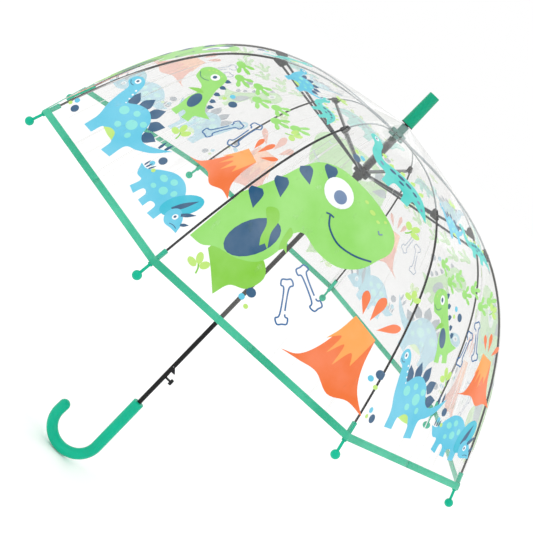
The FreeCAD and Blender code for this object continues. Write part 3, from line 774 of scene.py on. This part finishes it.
def herd_gore():
    """Plated, horned and small upright dinosaurs, a volcano, bones and a trail of prints."""
    art = GoreArt()
    plated_dinosaur(art, (-53, 70))
    horned_dinosaur(art, (60, 54))
    small_upright_dinosaur(art, (-41, 163), 16, 0.82)
    volcano(art, (81, 104), 0.72)
    bone(art, (24, 156), 77, 40)
    bone(art, (46, 172), 106, 42)
    for step in range(7):
        x = -63 + 21.5 * step
        y = 226 + 7 * (-1) ** step - 0.5 * step
        footprint(art, (x, y), -90 + 4 * step, 1.05)
    dots(art, (-14, 186), (8, 0), (-4, 7), (-6, -3))
    dots(art, (-117, 38), (3, -5), (-6, 3), (-9, -5))
    dots(art, (33, 68), (-6, 9), (-11, -2), (-1, -6))
    sprig(art, (2, 112), 30)
    sprig(art, (72, 218), -50, 0.9)
    plated_dinosaur(art, (-24, 300), 4, 0.5)
    long_necked_dinosaur(art, (38, 292), -8, 0.6)
    sprig(art, (4, 345), 10, 0.8)
    return art


def hunter_gore():
    """The big upright dinosaur, a long-necked one above it, a large volcano and bones."""
    art = GoreArt()
    volcano(art, (79, 26))
    large_upright_dinosaur(art)
    bone(art, (-7, 66), -59, 44)
    bone(art, (4, 96), -28, 44)
    dots(art, (-36, 40), (-4, 9), (-9, -1), (1, -6))
    dots(art, (125, 72), (-2, 6), (-8, -4), (2, -8))
    sprig(art, (-101, 32), 25)
    sprig(art, (55, 238), -30)
    sprig(art, (100, 168), 15, 0.8)
    long_necked_dinosaur(art, (16, 298), -6)
    dots(art, (-42, 268), (0, 0), (6, 8), (-4, 9))
    return art


# ---- laying the prints on the film ------------------------------------------------------
def cut_along(flat, place, direction):
    whole = flat.verts[:] + flat.edges[:] + flat.faces[:]
    bmesh.ops.bisect_plane(flat, geom=whole, dist=CUT_TOLERANCE, plane_co=place, plane_no=direction)


def cut_artwork(art):
    """Faces of one gore's prints, small enough to bend: ink, layer and corner places."""
    flat = bmesh.new()
    layer_tag = flat.faces.layers.int.new("layer")
    for ink, layer, loop in art.shapes:
        face = flat.faces.new([flat.verts.new((x, y, 0)) for x, y in loop])
        face.material_index = INK_NAMES.index(ink)
        face[layer_tag] = layer
    flat.normal_update()
    bmesh.ops.triangulate(flat, faces=flat.faces[:], ngon_method="EAR_CLIP")
    columns = int(gore_width(1.0) / 2 / MM / PRINT_COLUMN) + 1
    for i in range(-columns, columns + 1):
        cut_along(flat, (i * PRINT_COLUMN, 0, 0), (1, 0, 0))
    for i in range(1, int(FROM_HEM[0] / MM / PRINT_ROW)):
        cut_along(flat, (0, i * PRINT_ROW, 0), (0, 1, 0))
    cut_along(flat, (0, height_of_share(BEND_SHARE) / MM, 0), (0, 1, 0))
    faces = []
    for face in flat.faces:
        if face.normal.z < 0:
            face.normal_flip()
        corners = [(v.co.x, v.co.y) for v in face.verts]
        faces.append((face.material_index, face[layer_tag], corners))
    flat.free()
    return faces


def rib_prints(rib, upper, art_of_gore, front_inks, back_inks):
    """One rib's share of the prints, above or below the bend: ink outside, pale ink inside."""
    name = f"print_{'upper' if upper else 'lower'}_{rib + 1}"
    bend = height_of_share(BEND_SHARE) / MM
    points, faces, inks, found = [], [], [], {}

    def place(gore, x, y, lift):
        key = (gore, round(x, 4), round(y, 4), lift)
        if key not in found:
            share = share_above_hem(y * MM)
            across = min(max(0.5 + x * MM / gore_width(share), 0.0), 1.0)
            found[key] = len(points)
            points.append(film_point(gore, share, across, lift))
        return found[key]

    for gore, sign in ((rib, -1), (rib - 1, 1)):
        for ink, layer, corners in art_of_gore[gore % 2]:
            middle_x = sum(c[0] for c in corners) / len(corners)
            middle_y = sum(c[1] for c in corners) / len(corners)
            if middle_x * sign < 0 or (middle_y > bend) != upper:
                continue
            outer = [place(gore, x, y, INK_LIFT + layer * INK_STEP) for x, y in corners]
            inner = [place(gore, x, y, BACK_INK_LIFT - layer * INK_STEP) for x, y in corners]
            for loop, first in ((outer, 0), (inner[::-1], len(INK_NAMES))):
                if len(set(loop)) > 2:
                    faces.append(loop)
                    inks.append(first + ink)
    mesh = smooth_mesh(name, points, faces)
    mesh.polygons.foreach_set("material_index", inks)
    piece = new_object(name, mesh, front_inks + back_inks)
    return piece


# ---- film, hem and stitches -------------------------------------------------------------
def film_panel(name, rib, first, last, rows, materials):
    """Film from the middle of one gore over a rib to the middle of the next."""
    points, faces, seam, places = [], [], [], []
    for row in range(rows + 1):
        share = first + (last - first) * row / rows
        near = min(SEAM_HALF_WIDTH / gore_width(share), SEAM_SHARE_LIMIT)
        half = [0.0] + [near + (0.5 - near) * i / (HALF_COLUMNS - 1) for i in range(HALF_COLUMNS)]
        for offset in [-h for h in half[:0:-1]] + half:
            points.append(beside_rib(rib, share, offset))
            places.append((rib + 1 + offset, share))
    width = 2 * HALF_COLUMNS + 1
    for row in range(rows):
        for column in range(width - 1):
            corner = row * width + column
            faces.append((corner, corner + width, corner + width + 1, corner + 1))
            seam.append(1 if column in (HALF_COLUMNS - 1, HALF_COLUMNS) else 0)
    mesh = smooth_mesh(name, points, faces)
    mesh.polygons.foreach_set("material_index", seam)
    uv = mesh.uv_layers.new(name="film")
    for loop in mesh.loops:
        uv.data[loop.index].uv = places[loop.vertex_index]
    piece = new_object(name, mesh, materials)
    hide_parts("canopy_film")
    return piece


def hem_band(rib, material):
    """Binding folded over the film's edge, from the middle of one gore to the next."""
    outer, inner = TAPE_OUTER_LIFT, TAPE_INNER_LIFT
    top = TAPE_WIDTH - TAPE_EDGE_ROUND
    section = [
        (TAPE_WIDTH, outer - TAPE_ROUND), (top, outer), (TAPE_FOLD_ROUND, outer),
        (TAPE_ROUND, outer - TAPE_FOLD_STEP), (0.0, (outer + inner) / 2),
        (TAPE_ROUND, inner + TAPE_FOLD_STEP), (TAPE_FOLD_ROUND, inner), (top, inner),
        (TAPE_WIDTH, inner + TAPE_ROUND),
    ]
    count = len(section)
    points, faces = [], []
    for step in range(TAPE_STEPS + 1):
        offset = step / TAPE_STEPS - 0.5
        points += [beside_rib(rib, share_above_hem(up), offset, lift) for up, lift in section]
    for step in range(TAPE_STEPS):
        for i in range(count):
            j = (i + 1) % count
            here, ahead = step * count, (step + 1) * count
            faces.append((here + i, here + j, ahead + j, ahead + i))
    last = TAPE_STEPS * count
    faces.append(tuple(range(count))[::-1])
    faces.append(tuple(last + i for i in range(count)))
    mesh = smooth_mesh(f"hem_{rib + 1}", points, faces)
    piece = new_object(mesh.name, mesh, [material])
    outward_normals(piece)
    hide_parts("hem_tape")
    return piece


def outward_normals(piece):
    shell = bmesh.new()
    shell.from_mesh(piece.data)
    bmesh.ops.recalc_face_normals(shell, faces=shell.faces[:])
    shell.to_mesh(piece.data)
    shell.free()


def stitch_row_tree():
    """Geometry Nodes: a row of stitches along a line of edges."""
    tree = bpy.data.node_groups.new("stitch_row", "GeometryNodeTree")
    interface = tree.interface
    interface.new_socket("Geometry", in_out="INPUT", socket_type="NodeSocketGeometry")
    for name in ("Spacing", "Length", "Radius"):
        interface.new_socket(name, in_out="INPUT", socket_type="NodeSocketFloat")
    interface.new_socket("Thread", in_out="INPUT", socket_type="NodeSocketMaterial")
    interface.new_socket("Geometry", in_out="OUTPUT", socket_type="NodeSocketGeometry")
    nodes, link = tree.nodes, tree.links.new
    source = nodes.new("NodeGroupInput")
    result = nodes.new("NodeGroupOutput")
    line = nodes.new("GeometryNodeMeshToCurve")
    spaced = nodes.new("GeometryNodeResampleCurve")
    spaced.mode = "LENGTH"
    stitch = nodes.new("GeometryNodeMeshUVSphere")
    stitch.inputs["Segments"].default_value = 6
    stitch.inputs["Rings"].default_value = 5
    stitch.inputs["Radius"].default_value = 1.0
    size = nodes.new("ShaderNodeCombineXYZ")
    tangent = nodes.new("GeometryNodeInputTangent")
    turn = nodes.new("FunctionNodeAlignRotationToVector")
    turn.axis = "X"
    copies = nodes.new("GeometryNodeInstanceOnPoints")
    real = nodes.new("GeometryNodeRealizeInstances")
    thread = nodes.new("GeometryNodeSetMaterial")
    link(source.outputs["Geometry"], line.inputs["Mesh"])
    link(line.outputs["Curve"], spaced.inputs["Curve"])
    link(source.outputs["Spacing"], spaced.inputs["Length"])
    link(spaced.outputs["Curve"], copies.inputs["Points"])
    link(stitch.outputs["Mesh"], copies.inputs["Instance"])
    link(tangent.outputs["Tangent"], turn.inputs["Vector"])
    link(turn.outputs["Rotation"], copies.inputs["Rotation"])
    link(source.outputs["Length"], size.inputs["X"])
    link(source.outputs["Radius"], size.inputs["Y"])
    link(source.outputs["Radius"], size.inputs["Z"])
    link(size.outputs["Vector"], copies.inputs["Scale"])
    link(copies.outputs["Instances"], real.inputs["Geometry"])
    link(real.outputs["Geometry"], thread.inputs["Geometry"])
    link(source.outputs["Thread"], thread.inputs["Material"])
    link(thread.outputs["Geometry"], result.inputs["Geometry"])
    return tree


def set_input(modifier, name, value):
    """Set a Geometry Nodes input by its socket's identifier."""
    for item in modifier.node_group.interface.items_tree:
        if item.item_type == "SOCKET" and item.in_out == "INPUT" and item.name == name:
            modifier[item.identifier] = value


def hem_stitches(rib, tree, material):
    """Machine stitches through the binding over one rib."""
    points = []
    share = share_above_hem(STITCH_LINE)
    for step in range(TAPE_STEPS + 1):
        points.append(beside_rib(rib, share, step / TAPE_STEPS - 0.5, TAPE_OUTER_LIFT))
    edges = [(i, i + 1) for i in range(TAPE_STEPS)]
    line = bpy.data.meshes.new("stitch_line")
    line.from_pydata(points, edges, [])
    guide = new_object("stitch_guide", line, [])
    modifier = guide.modifiers.new("stitches", "NODES")
    modifier.node_group = tree
    set_input(modifier, "Spacing", STITCH_SPACING)
    set_input(modifier, "Length", STITCH_LENGTH / 2)
    set_input(modifier, "Radius", STITCH_RADIUS)
    set_input(modifier, "Thread", material)
    evaluated = guide.evaluated_get(bpy.context.evaluated_depsgraph_get())
    mesh = bpy.data.meshes.new_from_object(evaluated)
    mesh.name = f"hem_stitches_{rib + 1}"
    bpy.data.objects.remove(guide)
    mesh.polygons.foreach_set("use_smooth", [True] * len(mesh.polygons))
    piece = new_object(mesh.name, mesh, [])
    return piece


# ---- the whole canopy -------------------------------------------------------------------
def canopy():
    film = [clear_film(), weld_seam()]
    binding = hem_binding()
    thread = stitch_thread()
    tree = stitch_row_tree()
    front_inks, back_inks = [], []
    for name, colour in INKS.items():
        front_inks.append(screen_ink(f"ink_{name}", colour, FRONT_COVER))
    for name, colour in INKS.items():
        back = paler(colour, BACK_PALER)
        # inner inks are paler and carry a painted glow standing in for light through them from behind
        back_inks.append(screen_ink(f"back_ink_{name}", back, BACK_COVER, BACK_PAINTED_GLOW))
    # ribs count from 0 here, so an even gore starts at an odd-numbered rib
    art_of_gore = (cut_artwork(herd_gore()), cut_artwork(hunter_gore()))
    for rib in range(RIB_COUNT):
        upper_body, lower_body = f"upper_rib_{rib + 1}", f"lower_rib_{rib + 1}"
        cap = film_panel(f"film_cap_{rib + 1}", rib, 0.0, CAP_SHARE, CAP_ROWS, film)
        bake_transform(cap)
        upper = film_panel(f"film_upper_{rib + 1}", rib, CAP_SHARE, BEND_SHARE, UPPER_ROWS, film)
        lower = film_panel(f"film_lower_{rib + 1}", rib, BEND_SHARE, 1.0, LOWER_ROWS, film)
        upper_print = rib_prints(rib, True, art_of_gore, front_inks, back_inks)
        lower_print = rib_prints(rib, False, art_of_gore, front_inks, back_inks)
        hem = hem_band(rib, binding)
        stitches = hem_stitches(rib, tree, thread)
        for piece in (upper, upper_print):
            fold_with_rib(piece, upper_body)
        for piece in (lower, lower_print, hem, stitches):
            fold_with_rib(piece, lower_body)


# ---- finishes of the frame's parts ------------------------------------------------------
def part_finishes():
    """Finish of each part, by the start of its name."""
    green = card(0, 184, 146)
    return {
        "handle": moulded_plastic("grip_green", green, 0.22, 500.0),
        "ferrule": moulded_plastic("ferrule_green", card(0, 168, 128), 0.3, 500.0, flutes=44),
        "rib_tip": moulded_plastic("tip_green", green, 0.22, 900.0),
        "release_knob": moulded_plastic("knob_black", card(30, 31, 34), 0.25, 900.0),
        "film_washer": moulded_plastic("washer_black", card(44, 47, 50), 0.3, 900.0),
        "crown": moulded_plastic("crown_grey_green", card(112, 150, 146), 0.35, 900.0),
        "runner": moulded_plastic("runner_black", card(52, 56, 60), 0.38, 900.0),
        "rib_bracket": moulded_plastic("bracket_black", card(48, 50, 54), 0.35, 1200.0),
        "runner_catch": enamelled_steel("catch_enamel", card(30, 30, 34), 0.25),
        "shaft": enamelled_steel("shaft_enamel", card(9, 9, 11), 0.16),
        "rib_lower": enamelled_steel("rib_enamel", card(10, 10, 13), 0.2),
        "rib_upper": plated_steel("rib_plated", card(150, 158, 162), 0.3),
        "stretcher": enamelled_steel("stretcher_enamel", card(52, 58, 66), 0.3),
        "crown_wire": plated_steel("wire_steel", card(190, 190, 192), 0.25),
        "runner_wire": plated_steel("runner_wire_steel", card(190, 190, 192), 0.25),
        "drive_pin": plated_steel("pin_steel", card(196, 196, 198), 0.22),
        "catch_pin": plated_steel("catch_pin_steel", card(196, 196, 198), 0.22),
        "latch_spring": plated_steel("leaf_steel", card(120, 120, 124), 0.3),
        "buffer_spring": plated_steel("buffer_steel", card(70, 74, 80), 0.32),
        "opening_spring": hidden_coil(),
    }


def finish_parts():
    finishes = part_finishes()
    for name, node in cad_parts.items():
        known = [start for start in finishes if name.startswith(start)]
        if known:
            node.data.materials.clear()
            node.data.materials.append(finishes[max(known, key=len)])


# ---- studio -----------------------------------------------------------------------------
FLOOR_HALF = 30.0
PAPER_GLOW = 0.05


def soft_light(name, place, aim, size, power):
    data = bpy.data.lights.new(name, "AREA")
    data.shape = "RECTANGLE"
    data.size = size[0]
    data.size_y = size[1]
    data.energy = power
    lamp = bpy.data.objects.new(name, data)
    lamp.location = place
    lamp.rotation_euler = (Vector(aim) - Vector(place)).to_track_quat("-Z", "Y").to_euler()
    bpy.context.scene.collection.objects.link(lamp)


def studio():
    world = bpy.data.worlds.new("studio_white")
    world.use_nodes = True
    world.node_tree.nodes["Background"].inputs["Color"].default_value = (1, 1, 1, 1)
    world.node_tree.nodes["Background"].inputs["Strength"].default_value = 1.0
    bpy.context.scene.world = world
    low, half = cad_box[0][2], FLOOR_HALF
    corners = [(-half, -half, low), (half, -half, low), (half, half, low), (-half, half, low)]
    floor = new_object("floor", smooth_mesh("floor", corners, [(0, 1, 2, 3)]), [])
    white = (1, 1, 1, 1)
    paper = Finish("studio_paper", Roughness=0.9, Base_Color=white)
    paper.shader.inputs["Emission Color"].default_value = white
    paper.shader.inputs["Emission Strength"].default_value = PAPER_GLOW
    floor.data.materials.append(paper.material)
    soft_light("key_light", (-1.3, -1.4, 2.2), (0, 0, 0.3), (1.1, 0.7), 9)
    soft_light("side_light", (1.7, -0.6, 1.1), (0, 0, 0.35), (0.5, 1.2), 4)
    soft_light("back_light", (0.4, 1.7, 1.6), (0, 0, 0.4), (1.4, 0.5), 4)


def camera():
    data = bpy.data.cameras.new("camera")
    data.sensor_width = 36.0
    data.lens = 89.11
    data.shift_x = 0.0405
    data.shift_y = -0.0075
    data.clip_end = 100.0
    view = bpy.data.objects.new("camera", data)
    view.location = (-0.0019, -1.6718, 0.5884)
    view.rotation_euler = Euler([math.radians(a) for a in (75.51, -42.90, 10.84)])
    bpy.context.scene.collection.objects.link(view)
    bpy.context.scene.camera = view
    bpy.context.scene.view_settings.view_transform = "Standard"
    bpy.context.scene.cycles.transparent_max_bounces = 40


finish_parts()
canopy()
studio()
camera()
